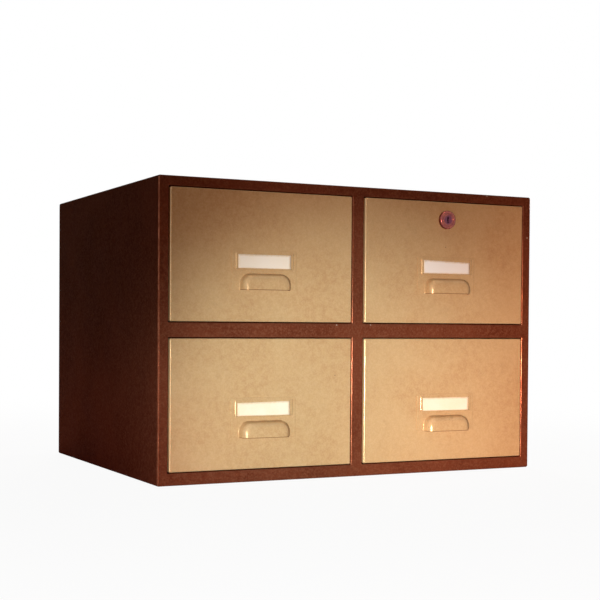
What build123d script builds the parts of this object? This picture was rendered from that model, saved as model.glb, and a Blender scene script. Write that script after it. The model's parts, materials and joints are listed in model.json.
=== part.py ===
from build123d import *
import os
from math import cos, radians, sin

# A desktop card index cabinet of folded sheet steel, two tiers of two drawers, in millimetres.
# The origin lies on the resting plane under the middle of the cabinet. +X runs to the right
# along the front, the front faces -Y, and +Z is up.

# Case
case_width = 496.0
case_height = 340.0
case_depth = 392.0
sheet = 1.0
case_edge_radius = 2.5
side_frame_width = 12.5
top_rail_height = 11.2
middle_rail_height = 16.7
bottom_rail_height = 14.0
centre_post_width = 15.8
frame_return_depth = 14.0
frame_edge_radius = 2.0
rear_flange_width = 12.0
seam_gap = 0.05

# Drawer fronts and trays
drawer_gap = 1.0
front_proud = 1.0
front_flange_depth = 12.0
front_edge_radius = 1.5
tray_lift = 6.0
tray_top_drop = 41.05
tray_rear_gap = 12.0
tray_bend_radius = 2.0
tray_lip_width = 5.0

# Runners and rollers, measured outwards from a tray's side and up from the channel floor
slide_space = 10.5
rail_sheet = 1.2
rail_rise = 16.0
rail_front_gap = 2.0
drawer_rail_front_gap = 1.0
drawer_rail_drop = 3.0
channel_lip_gap = 1.0
channel_lift_gap = 1.0
roller_diameter = 17.0
roller_side_gap = 1.2
roller_head_space = 2.0
roller_end_play = 0.2
roller_end_margin = 12.0
roller_rim_radius = 0.8
front_roller_lift = 0.2
running_gap = 0.3
pin_diameter = 5.0
pin_head_diameter = 8.0
pin_head_thickness = 0.6
pin_running_clearance = 0.05
stop_height = 8.0
stop_gap = 1.0
rivet_diameter = 3.2
rivet_head_diameter = 6.0
rivet_head_thickness = 0.6
rivet_hole_clearance = 0.05
upright_crown_width = 24.0
upright_brim_width = 10.0
upright_offset = 26.0

# Follower plate that holds the cards upright
follower_side_gap = 6.0
follower_height = 90.0
follower_lean = 12.0
follower_sheet = 1.2
follower_flange = 10.0
follower_corner_radius = 12.0
follower_foot_width = 60.0
follower_foot_length = 45.0
follower_rear_gap = 4.0
follower_front_space = 50.0
follower_floor_gap = 0.3
guide_slot_width = 12.0
guide_side_clearance = 0.5
guide_tongue_length = 26.0
guide_end_clearance = 1.0
guide_shoe_width = 24.0
guide_shoe_thickness = 2.0

# Pull, a pressed plate with an outward hood that is open below
pull_plate_width = 81.0
pull_plate_height = 45.0
pull_plate_thickness = 0.8
pull_plate_radius = 2.0
pull_rise = 35.5
hood_width = 62.0
hood_height = 18.6
hood_projection = 12.5
hood_corner_radius = 12.0
hood_flank_run = 2.4
hood_edge_radius = 3.5
hood_wall = 1.0

# Label holder and card
holder_width = 72.0
holder_height = 19.0
holder_rise = 58.5
holder_wall = 0.5
holder_slot = 0.6
holder_side_lip = 3.0
holder_bottom_lip = 1.6
label_thickness = 0.35

# Lock on the top right drawer
lock_drop = 21.8
lock_bezel_diameter = 22.5
lock_bezel_thickness = 4.6
lock_bezel_dome = 1.4
lock_barrel_diameter = 18.0
lock_plug_diameter = 12.0
lock_flange_diameter = 15.0
lock_flange_thickness = 1.0
lock_turning_clearance = 0.05
lock_nut_across_flats = 24.0
lock_nut_thickness = 3.5
keyway_width = 1.8
keyway_height = 8.0
keyway_depth = 8.0
cam_thickness = 2.0
cam_width = 12.0
cam_overlap = 5.0
cam_rail_gap = 0.8
cam_square = 6.0
cam_square_clearance = 0.05
cam_screw_diameter = 4.0
cam_screw_head_diameter = 8.0
cam_screw_head_thickness = 2.2
cam_screw_length = 6.0
cam_screw_end_gap = 1.0

# Places that follow from the sizes
front_y = (front_proud + pull_plate_thickness + hood_projection - case_depth) / 2
back_y = front_y + case_depth
opening_outer = case_width / 2 - side_frame_width
opening_width = opening_outer - centre_post_width / 2
opening_centre = (centre_post_width + opening_width) / 2
frame_rails = top_rail_height + middle_rail_height + bottom_rail_height
opening_height = (case_height - frame_rails) / 2
middle_rail_z = bottom_rail_height + opening_height

front_width = opening_width - 2 * drawer_gap
front_height = opening_height - 2 * drawer_gap
skin_y = front_y - front_proud
tray_half = opening_width / 2 - slide_space
tray_front = skin_y + sheet
tray_rear = back_y - 2 * sheet - tray_rear_gap
tray_floor_rise = tray_lift + sheet
tray_side_height = front_height - tray_lift - tray_top_drop

channel_back = slide_space + sheet
channel_web = channel_back - rail_sheet
channel_lip = rail_sheet + channel_lip_gap
roller_near = rail_sheet + roller_side_gap
roller_far = channel_web - roller_head_space
roller_radius = roller_diameter / 2
rear_axis_rise = running_gap + roller_radius
front_axis_rise = rear_axis_rise + front_roller_lift
drawer_flange_under = front_axis_rise + roller_radius + running_gap
drawer_flange_top = drawer_flange_under + rail_sheet
channel_inner_height = drawer_flange_top + channel_lift_gap
channel_front = front_y + frame_return_depth + rail_front_gap
channel_rear = back_y - 2 * sheet - rail_front_gap
front_axis_y = channel_front + roller_end_margin
rear_axis_y = tray_rear - roller_end_margin
drawer_rail_front = skin_y + front_flange_depth + drawer_rail_front_gap
drawer_travel = rear_axis_y - front_axis_y - roller_diameter - stop_gap
rivet_ys = (front_axis_y + upright_offset, channel_rear - upright_offset)
rivet_rise = channel_inner_height / 2

follower_reach = follower_height * sin(radians(follower_lean)) + follower_flange
follower_y = tray_rear - sheet - max(follower_reach, follower_foot_length) - follower_rear_gap
follower_travel = follower_y - (tray_front + sheet + follower_front_space)
tongue_middle_y = follower_y + follower_foot_length / 2

lock_rear_y = front_y + frame_return_depth + cam_rail_gap
cam_reach = lock_drop + drawer_gap + cam_overlap

columns = {"left": -1, "right": 1}
openings_z = {"bottom": bottom_rail_height, "top": middle_rail_z + middle_rail_height}

# Cut size of each paper label: width, left height, right height, and how far its right end is raised
label_sizes = {
    "top_left": (65.5, 16.5, 16.5, 0.0),
    "top_right": (67.0, 17.0, 13.6, 1.2),
    "bottom_left": (65.5, 15.6, 16.6, 0.0),
    "bottom_right": (67.0, 16.5, 16.5, 0.0),
}


def save(piece, name):
    """Label a finished piece and write it under its node name."""
    piece.part.label = name
    export_step(piece.part, f"parts/{name}.step")


def block(x, y, z, mode=Mode.ADD):
    """A box between two limits on each axis."""
    sizes = [abs(limits[1] - limits[0]) for limits in (x, y, z)]
    with Locations(tuple(sum(limits) / 2 for limits in (x, y, z))):
        Box(*sizes, mode=mode)


def cross_bar(x, y, z, diameter, mode=Mode.ADD):
    """A round bar along X between two x limits."""
    with Locations(Location((sum(x) / 2, y, z), (0, 90, 0))):
        Cylinder(diameter / 2, abs(x[1] - x[0]), mode=mode)


def round_edge(middle, first, second, length, radius):
    """Cut a square edge round. First and second point from its middle into the sheet."""
    along = Vector(*first).cross(Vector(*second))
    with BuildSketch(Plane(origin=middle, x_dir=first, z_dir=along)) as corner:
        with Locations((radius / 2, radius / 2)):
            Rectangle(radius, radius)
        with Locations((radius, radius)):
            Circle(radius, mode=Mode.SUBTRACT)
    extrude(corner.sketch, amount=length / 2, both=True, mode=Mode.SUBTRACT)


def bend_along_x(panel, y, z, y_inwards, z_inwards, radius):
    """Round the outside and the inside of a fold that runs along X."""
    folds = panel.edges().filter_by(Axis.X)
    fillet(folds.sort_by_distance((0, y, z))[0], radius)
    inside = (0, y + y_inwards * sheet, z + z_inwards * sheet)
    folds = panel.edges().filter_by(Axis.X)
    fillet(folds.sort_by_distance(inside)[0], radius - sheet)


def side_panel(side):
    """A shallow pan: its outer wall, four edge flanges and the return beside the drawer openings."""
    outer = side * case_width / 2
    inner = side * opening_outer
    open_end = 0 if side > 0 else -1
    with BuildPart() as panel:
        block((outer, inner), (front_y, back_y), (0, case_height))
        rim = panel.faces().sort_by(Axis.X)[open_end].edges()
        fillet(panel.edges() - rim, case_edge_radius)
        offset(amount=-sheet, openings=panel.faces().sort_by(Axis.X)[open_end])
        return_y = (front_y, front_y + frame_return_depth)
        block((inner, inner + side * sheet), return_y, (sheet, case_height - sheet))
        for opening_z in openings_z.values():
            middle = (inner, front_y, opening_z + opening_height / 2)
            round_edge(middle, (side, 0, 0), (0, 1, 0), opening_height, frame_edge_radius)
    return panel


def level_panel(outer_z, inwards, rail_height):
    """The top or the base: a flat sheet with its front rail, the rail's return and a rear flange."""
    across = (-opening_outer, opening_outer)
    return_y = (front_y, front_y + frame_return_depth)
    rail_z = outer_z + inwards * rail_height
    with BuildPart() as panel:
        block(across, (front_y, back_y), (outer_z, outer_z + inwards * sheet))
        block(across, (front_y, front_y + sheet), (outer_z, rail_z))
        block(across, return_y, (rail_z - inwards * sheet, rail_z))
        block(across, (back_y - sheet, back_y), (outer_z, outer_z + inwards * rear_flange_width))
        bend_along_x(panel, front_y, outer_z, 1, inwards, case_edge_radius)
        bend_along_x(panel, back_y, outer_z, -1, inwards, case_edge_radius)
        for side in columns.values():
            middle = (side * opening_centre, front_y, rail_z)
            round_edge(middle, (0, 1, 0), (0, 0, -inwards), opening_width, frame_edge_radius)
    return panel


def back_panel():
    """A flat sheet welded inside the rear flanges."""
    half = case_width / 2 - case_edge_radius
    with BuildPart() as panel:
        block(
            (-half, half),
            (back_y - 2 * sheet, back_y - sheet),
            (case_edge_radius, case_height - case_edge_radius),
        )
    return panel


def middle_rail():
    """A channel section between the side panels, with a return above and below its face."""
    across = (-opening_outer, opening_outer)
    top = middle_rail_z + middle_rail_height
    return_y = (front_y, front_y + frame_return_depth)
    with BuildPart() as rail:
        block(across, (front_y, front_y + sheet), (middle_rail_z, top))
        block(across, return_y, (middle_rail_z, middle_rail_z + sheet))
        block(across, return_y, (top - sheet, top))
        for side in columns.values():
            middle_x = side * opening_centre
            for z, inwards in ((middle_rail_z, 1), (top, -1)):
                middle = (middle_x, front_y, z)
                round_edge(middle, (0, 1, 0), (0, 0, inwards), opening_width, frame_edge_radius)
    return rail


def centre_posts():
    """A channel section post between the rails of each tier."""
    half = centre_post_width / 2
    return_y = (front_y, front_y + frame_return_depth)
    with BuildPart() as posts:
        for opening_z in openings_z.values():
            height = (opening_z, opening_z + opening_height)
            block((-half, half), (front_y, front_y + sheet), height)
            for side in columns.values():
                block((side * (half - sheet), side * half), return_y, height)
                middle = (side * half, front_y, sum(height) / 2)
                round_edge(middle, (-side, 0, 0), (0, 1, 0), opening_height, frame_edge_radius)
    return posts


def rail_floor_z(opening_z):
    """Height of the channel floor in the tier whose opening starts at opening_z."""
    return opening_z + drawer_gap + rail_rise


def centre_partition():
    """Two thin pans back to back, notched over the front rails, that carry the inner channels."""
    face = centre_post_width / 2 - sheet
    notch_y = (front_y, front_y + frame_return_depth + rail_front_gap)
    rail_levels = (
        (0, bottom_rail_height),
        (middle_rail_z, middle_rail_z + middle_rail_height),
        (case_height - top_rail_height, case_height),
    )
    height = (sheet + seam_gap, case_height - sheet - seam_gap)
    rear = back_y - 2 * sheet - seam_gap
    with BuildPart() as partition:
        for side in columns.values():
            web = (side * (face - sheet), side * (face - seam_gap))
            block(web, (front_y + 2 * sheet, rear), height)
            block((side * seam_gap, side * (face - seam_gap)), (rear - sheet, rear), height)
        for low, high in rail_levels:
            notch_z = (low - rail_front_gap, high + rail_front_gap)
            block((-face, face), notch_y, notch_z, mode=Mode.SUBTRACT)
        for opening_z in openings_z.values():
            rivet_z = rail_floor_z(opening_z) + rivet_rise
            for rivet_y in rivet_ys:
                hole = rivet_diameter + 2 * rivet_hole_clearance
                cross_bar((-face, face), rivet_y, rivet_z, hole, mode=Mode.SUBTRACT)
    return partition


def side_uprights():
    """Hat sections welded inside the side panels, whose crowns carry the outer channels."""
    crown_near = opening_outer + sheet + seam_gap
    crown_far = crown_near + rail_sheet
    wall = case_width / 2 - sheet
    half_crown = upright_crown_width / 2
    height = (case_edge_radius, case_height - case_edge_radius)
    with BuildPart() as uprights:
        for side in columns.values():
            for middle_y in rivet_ys:
                crown_y = (middle_y - half_crown, middle_y + half_crown)
                block((side * crown_near, side * crown_far), crown_y, height)
                for end in (-1, 1):
                    leg_y = middle_y + end * half_crown
                    leg = (leg_y - end * rail_sheet, leg_y)
                    brim = (leg_y - end * rail_sheet, leg_y + end * upright_brim_width)
                    block((side * crown_near, side * wall), leg, height)
                    block((side * (wall - rail_sheet), side * wall), brim, height)
                for opening_z in openings_z.values():
                    rivet_z = rail_floor_z(opening_z) + rivet_rise
                    hole = rivet_diameter + 2 * rivet_hole_clearance
                    crown = (side * crown_near, side * crown_far)
                    cross_bar(crown, middle_y, rivet_z, hole, mode=Mode.SUBTRACT)
    return uprights


def beside_tray(column, side, near, far):
    """The x limits of something that lies from near to far outwards of a tray's side."""
    tray_side = column * opening_centre + side * tray_half
    return (tray_side + side * near, tray_side + side * far)


def case_rails(column, opening_z):
    """A drawer's two fixed channels, each with a tab behind that stops the closed drawer."""
    floor = rail_floor_z(opening_z)
    ceiling = floor + channel_inner_height
    length = (channel_front, channel_rear)
    stop_y = rear_axis_y + roller_radius + running_gap
    with BuildPart() as rails:
        for side in (-1, 1):
            web = beside_tray(column, side, channel_web, channel_back)
            flange = beside_tray(column, side, channel_lip, channel_back)
            tab = beside_tray(column, side, roller_near, channel_back)
            block(web, length, (floor - rail_sheet, ceiling + rail_sheet))
            block(flange, length, (floor - rail_sheet, floor))
            block(flange, length, (ceiling, ceiling + rail_sheet))
            block(tab, (stop_y, stop_y + rail_sheet), (floor, floor + stop_height))
            pin_hole = pin_diameter + 2 * pin_running_clearance
            pin_z = floor + front_axis_rise
            cross_bar(web, front_axis_y, pin_z, pin_hole, mode=Mode.SUBTRACT)
            for rivet_y in rivet_ys:
                hole = rivet_diameter + 2 * rivet_hole_clearance
                cross_bar(web, rivet_y, floor + rivet_rise, hole, mode=Mode.SUBTRACT)
    return rails


def rail_rivets():
    """Rivets through each channel and the upright or partition behind it."""
    head_near = channel_web - rivet_head_thickness
    with BuildPart() as rivets:
        for column in columns.values():
            for opening_z in openings_z.values():
                rivet_z = rail_floor_z(opening_z) + rivet_rise
                for side in (-1, 1):
                    carrier = rail_sheet if side == column else sheet
                    tail = channel_back + seam_gap + carrier
                    head = beside_tray(column, side, head_near, channel_web)
                    shank = beside_tray(column, side, channel_web, tail)
                    clench = beside_tray(column, side, tail, tail + rivet_head_thickness)
                    for rivet_y in rivet_ys:
                        cross_bar(head, rivet_y, rivet_z, rivet_head_diameter)
                        cross_bar(shank, rivet_y, rivet_z, rivet_diameter)
                        cross_bar(clench, rivet_y, rivet_z, rivet_head_diameter)
    return rivets


def front_roller_pins():
    """Pins fixed in the front ends of the channels."""
    head_far = roller_near - roller_end_play
    with BuildPart() as pins:
        for column in columns.values():
            for opening_z in openings_z.values():
                z = rail_floor_z(opening_z) + front_axis_rise
                for side in (-1, 1):
                    head = beside_tray(column, side, head_far - pin_head_thickness, head_far)
                    shaft = beside_tray(column, side, head_far, channel_back)
                    collar = beside_tray(column, side, roller_far + roller_end_play, channel_web)
                    cross_bar(head, front_axis_y, z, pin_head_diameter)
                    cross_bar(shaft, front_axis_y, z, pin_diameter)
                    cross_bar(collar, front_axis_y, z, pin_head_diameter)
    return pins


def rear_roller_pins(column, opening_z):
    """Pins fixed in the rear ends of a drawer's rails."""
    z = rail_floor_z(opening_z) + rear_axis_rise
    head_near = roller_far + roller_end_play
    with BuildPart() as pins:
        for side in (-1, 1):
            head = beside_tray(column, side, head_near, head_near + pin_head_thickness)
            shaft = beside_tray(column, side, 0, head_near)
            collar = beside_tray(column, side, rail_sheet, roller_near - roller_end_play)
            cross_bar(shaft, rear_axis_y, z, pin_diameter)
            cross_bar(collar, rear_axis_y, z, pin_head_diameter)
            cross_bar(head, rear_axis_y, z, pin_head_diameter)
    return pins


def rollers(column, axis_y, axis_z):
    """A pair of nylon rollers, one at each side of the drawer."""
    bore = pin_diameter + 2 * pin_running_clearance
    with BuildPart() as pair:
        for side in (-1, 1):
            width = beside_tray(column, side, roller_near, roller_far)
            cross_bar(width, axis_y, axis_z, roller_diameter)
        rims = pair.edges().filter_by(GeomType.CIRCLE)
        fillet(rims, roller_rim_radius)
        for side in (-1, 1):
            width = beside_tray(column, side, roller_near, roller_far)
            cross_bar(width, axis_y, axis_z, bore, mode=Mode.SUBTRACT)
    return pair


def drawer_rails(column, opening_z):
    """The drawer's two angle rails, whose flanges run on the front rollers."""
    floor = rail_floor_z(opening_z)
    length = (drawer_rail_front, tray_rear)
    with BuildPart() as rails:
        for side in (-1, 1):
            web = beside_tray(column, side, 0, rail_sheet)
            flange = beside_tray(column, side, 0, roller_far)
            block(web, length, (floor + drawer_rail_drop, floor + drawer_flange_top))
            block(flange, length, (floor + drawer_flange_under, floor + drawer_flange_top))
            hole = pin_diameter + 2 * pin_running_clearance
            cross_bar(web, rear_axis_y, floor + rear_axis_rise, hole, mode=Mode.SUBTRACT)
    return rails


def drawer_front(column, opening_z, lock_z):
    """A pan with its edges folded back. Lock_z is the height of a lock hole, or None."""
    middle_x = column * opening_centre
    x = (middle_x - front_width / 2, middle_x + front_width / 2)
    z = (opening_z + drawer_gap, opening_z + drawer_gap + front_height)
    with BuildPart() as pan:
        block(x, (skin_y, skin_y + front_flange_depth), z)
        rim = pan.faces().sort_by(Axis.Y)[-1].edges()
        fillet(pan.edges() - rim, front_edge_radius)
        offset(amount=-sheet, openings=pan.faces().sort_by(Axis.Y)[-1])
        if lock_z is not None:
            with BuildSketch(Plane.XZ.offset(-skin_y)):
                with Locations((middle_x, lock_z)):
                    Circle(lock_barrel_diameter / 2 + lock_turning_clearance)
            extrude(amount=-sheet, mode=Mode.SUBTRACT)
    return pan


def drawer_tray(column, opening_z):
    """The folded tray: floor, four walls, a lip out over each side and the follower's slot."""
    middle_x = column * opening_centre
    under = opening_z + drawer_gap + tray_lift
    top = under + tray_side_height
    with BuildPart() as tray:
        block((middle_x - tray_half, middle_x + tray_half), (tray_front, tray_rear), (under, top))
        rim = tray.faces().sort_by(Axis.Z)[-1].edges()
        fillet(tray.edges() - rim, tray_bend_radius)
        offset(amount=-sheet, openings=tray.faces().sort_by(Axis.Z)[-1])
        lip_y = (drawer_rail_front, tray_rear - tray_bend_radius)
        for side in (-1, 1):
            lip = beside_tray(column, side, -sheet, tray_lip_width)
            block(lip, lip_y, (top - sheet, top))
        half_tongue = guide_tongue_length / 2
        slot_front = tongue_middle_y - half_tongue - follower_travel - guide_end_clearance
        slot_rear = tongue_middle_y + half_tongue + guide_end_clearance
        with BuildSketch(Plane.XY.offset(under)):
            with Locations((middle_x, (slot_front + slot_rear) / 2)):
                Rectangle(guide_slot_width, slot_rear - slot_front)
        extrude(amount=sheet, mode=Mode.SUBTRACT)
    return tray


def follower_plate(column, opening_z):
    """The leaning plate behind the cards, with the shoe that holds it in the tray's slot."""
    middle_x = column * opening_centre
    floor = opening_z + drawer_gap + tray_floor_rise
    foot_under = floor + follower_floor_gap
    width = 2 * (tray_half - sheet - follower_side_gap)
    lean = radians(follower_lean)
    face = Plane(
        origin=(middle_x, follower_y, foot_under),
        x_dir=(1, 0, 0),
        z_dir=(0, -cos(lean), sin(lean)),
    )
    with BuildPart() as plate:
        with BuildSketch(face) as outline:
            with Locations((0, follower_height / 2)):
                Rectangle(width, follower_height)
            fillet(outline.vertices().group_by(Axis.Y)[-1], follower_corner_radius)
        extrude(amount=-follower_sheet)
        with BuildSketch(face):
            flange_height = follower_height - 2 * follower_corner_radius
            for side in (-1, 1):
                with Locations((side * (width - follower_sheet) / 2, follower_height / 2)):
                    Rectangle(follower_sheet, flange_height)
        extrude(amount=-follower_flange)
        half_foot = follower_foot_width / 2
        foot_y = (follower_y, follower_y + follower_foot_length)
        block(
            (middle_x - half_foot, middle_x + half_foot),
            foot_y,
            (foot_under, foot_under + follower_sheet),
        )
        half_tongue = guide_slot_width / 2 - guide_side_clearance
        tongue_y = (
            tongue_middle_y - guide_tongue_length / 2,
            tongue_middle_y + guide_tongue_length / 2,
        )
        shoe_top = floor - sheet - follower_floor_gap
        block((middle_x - half_tongue, middle_x + half_tongue), tongue_y, (shoe_top, foot_under))
        half_shoe = guide_shoe_width / 2
        block(
            (middle_x - half_shoe, middle_x + half_shoe),
            tongue_y,
            (shoe_top - guide_shoe_thickness, shoe_top),
        )
    return plate


def hood_outline(plane, inset, wall):
    """The hood's D outline on a plane: a straight foot, upright sides and round shoulders."""
    width = hood_width - 2 * (inset + wall)
    height = hood_height - inset - wall
    radius = hood_corner_radius - (inset + wall) / 2
    with BuildSketch(plane) as outline:
        with Locations((0, height / 2)):
            Rectangle(width, height)
        fillet(outline.vertices().group_by(Axis.Y)[-1], radius)
    return outline.sketch


def hood_form(base, face, wall, edge_radius):
    """The hood from its base outline out to its face, with the rim of the face rounded."""
    with BuildPart() as form:
        loft([hood_outline(base, 0, wall), hood_outline(face, hood_flank_run, wall)])
        rim = form.faces().sort_by(Axis.Y)[0].edges().sort_by(Axis.Z)[1:]
        fillet(rim, edge_radius)
    return form.part


def drawer_pull(column, opening_z):
    """A plate on the drawer front, pressed out into a hood with a finger gap open below."""
    middle_x = column * opening_centre
    foot_z = opening_z + drawer_gap + pull_rise
    plate_y = skin_y - pull_plate_thickness
    face_y = plate_y - hood_projection
    back = Plane(origin=(middle_x, skin_y, foot_z), x_dir=(1, 0, 0), z_dir=(0, -1, 0))
    base = Plane(origin=(middle_x, plate_y, foot_z), x_dir=(1, 0, 0), z_dir=(0, -1, 0))
    face = Plane(origin=(middle_x, face_y, foot_z), x_dir=(1, 0, 0), z_dir=(0, -1, 0))
    inner_face = face.offset(-hood_wall)
    with BuildPart() as pull:
        add(hood_form(base, face, 0, hood_edge_radius))
        with BuildSketch(back):
            with Locations((0, pull_plate_height / 2)):
                RectangleRounded(pull_plate_width, pull_plate_height, pull_plate_radius)
        extrude(amount=pull_plate_thickness)
        inside = hood_form(back, inner_face, hood_wall, hood_edge_radius - hood_wall)
        add(inside, mode=Mode.SUBTRACT)
    return pull


def label_holder(column, opening_z):
    """A folded frame on the pull's plate, open above, with lips at its sides and foot."""
    middle_x = column * opening_centre
    foot_z = opening_z + drawer_gap + holder_rise
    back = skin_y - pull_plate_thickness
    slot_back = back - holder_wall
    slot_front = slot_back - holder_slot
    lip_front = slot_front - holder_wall
    half = holder_width / 2
    top = foot_z + holder_height
    pocket = half - holder_wall
    window = half - holder_side_lip
    with BuildPart() as holder:
        block((middle_x - half, middle_x + half), (lip_front, back), (foot_z, top))
        block(
            (middle_x - pocket, middle_x + pocket),
            (slot_front, slot_back),
            (foot_z + holder_wall, top),
            mode=Mode.SUBTRACT,
        )
        block(
            (middle_x - window, middle_x + window),
            (lip_front, slot_front),
            (foot_z + holder_bottom_lip, top),
            mode=Mode.SUBTRACT,
        )
    return holder


def label_card(column, opening_z, size):
    """A strip of card that stands in the holder, as it was cut."""
    width, left_height, right_height, right_rise = size
    foot_z = opening_z + drawer_gap + holder_rise + holder_wall + seam_gap
    back = skin_y - pull_plate_thickness - holder_wall - seam_gap
    front = Plane(
        origin=(column * opening_centre, back, foot_z), x_dir=(1, 0, 0), z_dir=(0, -1, 0)
    )
    with BuildPart() as card:
        with BuildSketch(front):
            with BuildLine():
                Polyline(
                    (-width / 2, 0),
                    (width / 2, right_rise),
                    (width / 2, right_rise + right_height),
                    (-width / 2, left_height),
                    close=True,
                )
            make_face()
        extrude(amount=label_thickness)
    return card


def lock_place(y):
    """A plane across the lock's axis at a depth y, facing the user."""
    top = openings_z["top"] + drawer_gap + front_height
    return Plane(origin=(opening_centre, y, top - lock_drop), x_dir=(1, 0, 0), z_dir=(0, -1, 0))


def lock_body():
    """The domed bezel and the barrel that passes through the drawer front."""
    bezel_radius = lock_bezel_diameter / 2
    flat_radius = bezel_radius - 2 * lock_bezel_dome
    with BuildPart() as body:
        with BuildSketch(lock_place(skin_y)):
            Circle(bezel_radius)
        with BuildSketch(lock_place(skin_y - lock_bezel_thickness + lock_bezel_dome)):
            Circle(bezel_radius - lock_bezel_dome / 4)
        with BuildSketch(lock_place(skin_y - lock_bezel_thickness)):
            Circle(flat_radius)
        loft(ruled=True)
        with BuildSketch(lock_place(skin_y)):
            Circle(lock_barrel_diameter / 2)
        extrude(amount=skin_y - lock_rear_y)
        bore = lock_plug_diameter / 2 + lock_turning_clearance
        seat = lock_flange_diameter / 2 + lock_turning_clearance
        with BuildSketch(lock_place(lock_rear_y)):
            Circle(bore)
        extrude(amount=lock_rear_y - skin_y + lock_bezel_thickness, mode=Mode.SUBTRACT)
        with BuildSketch(lock_place(skin_y - lock_bezel_thickness)):
            Circle(seat)
        extrude(amount=-lock_flange_thickness, mode=Mode.SUBTRACT)
    return body


def lock_nut():
    """The hexagon nut that clamps the lock to the back of the drawer front."""
    with BuildPart() as nut:
        with BuildSketch(lock_place(skin_y + sheet)):
            RegularPolygon(lock_nut_across_flats / 2, 6, major_radius=False)
            Circle(lock_barrel_diameter / 2 + lock_turning_clearance, mode=Mode.SUBTRACT)
        extrude(amount=-lock_nut_thickness)
    return nut


def lock_plug():
    """The turning plug, with its keyway, front flange and the square that carries the cam."""
    flange_back = skin_y - lock_bezel_thickness + lock_flange_thickness - lock_turning_clearance
    with BuildPart() as plug:
        with BuildSketch(lock_place(lock_rear_y)):
            Circle(lock_plug_diameter / 2)
        extrude(amount=lock_rear_y - flange_back)
        with BuildSketch(lock_place(flange_back)):
            Circle(lock_flange_diameter / 2)
        extrude(amount=lock_flange_thickness)
        with BuildSketch(lock_place(lock_rear_y)):
            Rectangle(cam_square, cam_square)
        extrude(amount=-cam_thickness)
        with BuildSketch(lock_place(flange_back - lock_flange_thickness)):
            SlotOverall(keyway_height, keyway_width, rotation=90)
        extrude(amount=-keyway_depth, mode=Mode.SUBTRACT)
        with BuildSketch(lock_place(lock_rear_y + cam_thickness)):
            Circle(cam_screw_diameter / 2 + lock_turning_clearance)
        extrude(amount=cam_screw_length + cam_screw_end_gap, mode=Mode.SUBTRACT)
    return plug


def lock_cam():
    """The flat cam. It lies level while unlocked and turns up behind the top rail to lock."""
    with BuildPart() as cam:
        with BuildSketch(lock_place(lock_rear_y)):
            Circle(cam_width / 2)
            with Locations((-cam_reach / 2, 0)):
                Rectangle(cam_reach, cam_width)
            Rectangle(
                cam_square + 2 * cam_square_clearance,
                cam_square + 2 * cam_square_clearance,
                mode=Mode.SUBTRACT,
            )
        extrude(amount=-cam_thickness)
    return cam


def lock_cam_screw():
    """The screw that keeps the cam on the plug's square."""
    with BuildPart() as screw:
        with BuildSketch(lock_place(lock_rear_y + cam_thickness)):
            Circle(cam_screw_head_diameter / 2)
        extrude(amount=-cam_screw_head_thickness)
        with BuildSketch(lock_place(lock_rear_y + cam_thickness)):
            Circle(cam_screw_diameter / 2)
        extrude(amount=cam_screw_length)
    return screw


def make_case():
    """The fixed case, its frame and everything that is riveted to it."""
    save(side_panel(-1), "case_left_side")
    save(side_panel(1), "case_right_side")
    save(level_panel(case_height, -1, top_rail_height), "case_top")
    save(level_panel(0, 1, bottom_rail_height), "case_base")
    save(back_panel(), "case_back")
    save(middle_rail(), "middle_rail")
    save(centre_posts(), "centre_posts")
    save(centre_partition(), "centre_partition")
    save(side_uprights(), "side_uprights")
    save(rail_rivets(), "rail_rivets")
    save(front_roller_pins(), "front_roller_pins")


def make_drawer(name, column, opening_z, lock_z):
    """One drawer with its front, runners, rollers, pull, label and follower."""
    floor = rail_floor_z(opening_z)
    save(case_rails(column, opening_z), f"case_rails_{name}")
    save(drawer_front(column, opening_z, lock_z), f"drawer_front_{name}")
    save(drawer_tray(column, opening_z), f"drawer_tray_{name}")
    save(drawer_rails(column, opening_z), f"drawer_rails_{name}")
    save(rollers(column, front_axis_y, floor + front_axis_rise), f"front_rollers_{name}")
    save(rollers(column, rear_axis_y, floor + rear_axis_rise), f"rear_rollers_{name}")
    save(rear_roller_pins(column, opening_z), f"rear_roller_pins_{name}")
    save(follower_plate(column, opening_z), f"follower_plate_{name}")
    save(drawer_pull(column, opening_z), f"drawer_pull_{name}")
    save(label_holder(column, opening_z), f"label_holder_{name}")
    save(label_card(column, opening_z, label_sizes[name]), f"label_card_{name}")


def make_lock():
    """The lock of the top right drawer."""
    save(lock_body(), "lock_body")
    save(lock_nut(), "lock_nut")
    save(lock_plug(), "lock_plug")
    save(lock_cam(), "lock_cam")
    save(lock_cam_screw(), "lock_cam_screw")


def make_cabinet():
    """Write every piece of the cabinet."""
    os.makedirs("parts", exist_ok=True)
    make_case()
    for tier, opening_z in openings_z.items():
        for hand, column in columns.items():
            name = f"{tier}_{hand}"
            locked = name == "top_right"
            lock_z = opening_z + drawer_gap + front_height - lock_drop if locked else None
            make_drawer(name, column, opening_z, lock_z)
    make_lock()


make_cabinet()
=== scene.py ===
import json

import bmesh
import bpy
import numpy as np
from mathutils import Matrix, Vector


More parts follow.
